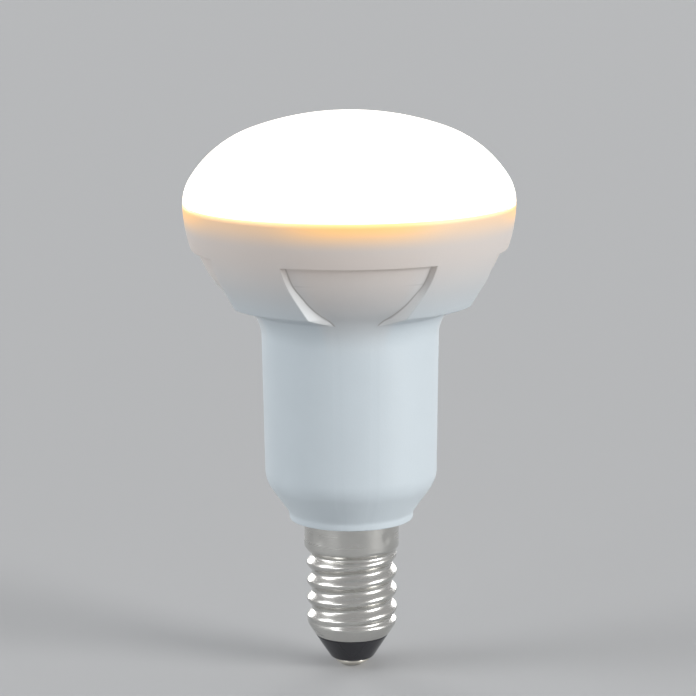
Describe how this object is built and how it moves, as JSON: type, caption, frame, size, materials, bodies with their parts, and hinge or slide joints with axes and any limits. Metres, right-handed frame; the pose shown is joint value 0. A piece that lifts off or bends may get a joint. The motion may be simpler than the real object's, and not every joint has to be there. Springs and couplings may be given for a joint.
{
  "type": "reflector bulb",
  "caption": "Mushroom-shaped reflector lamp with an opal dome on a ribbed white housing that narrows to a neck and a small screw cap, throwing light forwards.",
  "frame": {"origin": "on the lamp's axis, in the plane where the screw cap's rim meets the housing's collar", "axes": "+Z along the lamp's axis from the cap towards the dome, -Y towards the middle of one of the window recesses"},
  "size_m": [0.05, 0.05, 0.0857],
  "materials": {
    "opal_diffuser": "opal polycarbonate, satin, lit from inside",
    "white_housing": "moulded white plastic, satin",
    "spun_aluminium": "spun, bare",
    "light_board": "white solder mask on aluminium",
    "light_chip": "phosphor under clear resin",
    "screw_steel": "zinc plated",
    "circuit_board": "bare laminate",
    "black_moulding": "moulded chip package",
    "capacitor_sleeve": "shrunk sleeve",
    "ferrite": "pressed ferrite",
    "copper_winding": "enamelled copper wire",
    "tinned_wire": "tinned",
    "resistor_body": "flameproof coating",
    "nickel_cap": "nickel plated, semi-bright",
    "black_insulator": "pressed black glass",
    "contact_metal": "nickel plated"
  },
  "bodies": {
    "root": {"diffuser_dome": "opal_diffuser", "housing": "white_housing", "heat_sink_cup": "spun_aluminium", "led_board": "light_board", "led_chips": "light_chip", "board_screws": "screw_steel", "driver_board": "circuit_board", "bridge_rectifier": "black_moulding", "driver_controller": "black_moulding", "input_capacitor": "capacitor_sleeve", "output_capacitor": "capacitor_sleeve", "choke_core": "ferrite", "choke_winding": "copper_winding", "output_pin_positive": "tinned_wire", "output_pin_negative": "tinned_wire", "fusible_resistor": "resistor_body", "neutral_lead": "tinned_wire", "cap_shell": "nickel_cap", "cap_insulator": "black_insulator", "centre_contact": "contact_metal"}
  },
  "joints": []
}
